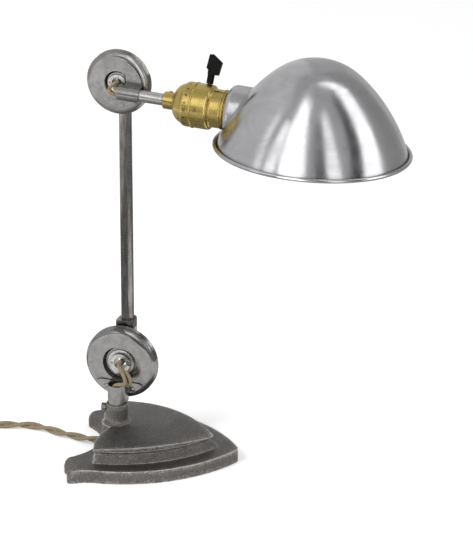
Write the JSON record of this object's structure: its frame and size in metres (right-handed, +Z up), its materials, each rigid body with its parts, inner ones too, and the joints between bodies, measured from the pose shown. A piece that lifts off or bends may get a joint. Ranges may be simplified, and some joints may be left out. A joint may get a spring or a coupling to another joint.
{
  "type": "desk lamp",
  "caption": "Jointed desk lamp with a cast base, two hollow friction joints, a brass key socket and a spun dome shade.",
  "frame": {"origin": "on the table, under the axis of the stem that turns in the base", "axes": "+Z up, +X from the stem towards the shade, -Y towards the side that shows both friction joints"},
  "size_m": [0.5367, 0.1687, 0.3835],
  "materials": {
    "cast_iron_base": "worn, dark, brushed",
    "worn_steel": "worn, satin",
    "bright_steel": "turned, satin",
    "shade_metal": "spun and polished",
    "brass": "satin lacquer",
    "inner_brass": "plain",
    "fibre": "hard fibre",
    "porcelain": "glazed",
    "key_black": "moulded, black",
    "key_shaft": "plain",
    "cord_cloth": "braided, waxed",
    "plug_black": "moulded"
  },
  "bodies": {
    "base": {"base_casting": "cast_iron_base", "stem_set_screw": "bright_steel", "cord_bushing": "fibre", "flex_cord": "cord_cloth", "flex_cord_coil": "cord_cloth", "plug_body": "plug_black", "plug_blades": "inner_brass"},
    "stem": {"stem_tube": "worn_steel", "stem_washer": "bright_steel", "stem_locknut": "bright_steel", "stem_saddle": "worn_steel", "stem_saddle_rivets": "worn_steel", "lower_front_disc": "worn_steel", "lower_bushing": "bright_steel", "lower_friction_washer": "fibre", "lower_rear_washer": "bright_steel", "lower_spring_washer": "bright_steel", "lower_ring_nut": "bright_steel", "stem_wires": "cord_cloth"},
    "arm": {"lower_rear_disc": "worn_steel", "arm_lower_saddle": "worn_steel", "arm_lower_rivets": "worn_steel", "arm_tube": "worn_steel", "arm_upper_saddle": "worn_steel", "arm_upper_rivets": "worn_steel", "upper_rear_disc": "worn_steel", "arm_wires": "cord_cloth"},
    "head": {"upper_front_disc": "worn_steel", "upper_bushing": "bright_steel", "upper_friction_washer": "fibre", "upper_rear_washer": "bright_steel", "upper_spring_washer": "bright_steel", "upper_ring_nut": "bright_steel", "head_saddle": "worn_steel", "shade_arm": "worn_steel", "head_wires": "cord_cloth", "socket_cap": "brass", "cap_set_screw": "brass", "socket_shell": "brass", "socket_liner": "fibre", "socket_body": "porcelain", "screw_shell": "inner_brass", "centre_contact": "inner_brass", "terminal_screws": "inner_brass", "shade": "shade_metal", "shade_ring": "inner_brass"},
    "key": {"switch_shaft": "key_shaft", "switch_key": "key_black"}
  },
  "joints": [
    {"name": "base_swivel", "type": "hinge", "parent": "base", "child": "stem", "pos_m": [0, 0, 0.047], "axis": [0, 0, 1], "range_deg": [-170, 170]},
    {"name": "lower_hinge", "type": "hinge", "parent": "stem", "child": "arm", "pos_m": [0, 0.0145, 0.08], "axis": [0, 1, 0], "range_deg": [-60, 35]},
    {"name": "upper_hinge", "type": "hinge", "parent": "arm", "child": "head", "pos_m": [0, 0.0154, 0.3395], "axis": [0, 1, 0], "range_deg": [-90, 55]},
    {"name": "switch_turn", "type": "hinge", "parent": "head", "child": "key", "pos_m": [0.08175, 0.0033, 0.33161], "axis": [0.0367, 0.4067, 0.9128], "continuous": true}
  ]
}
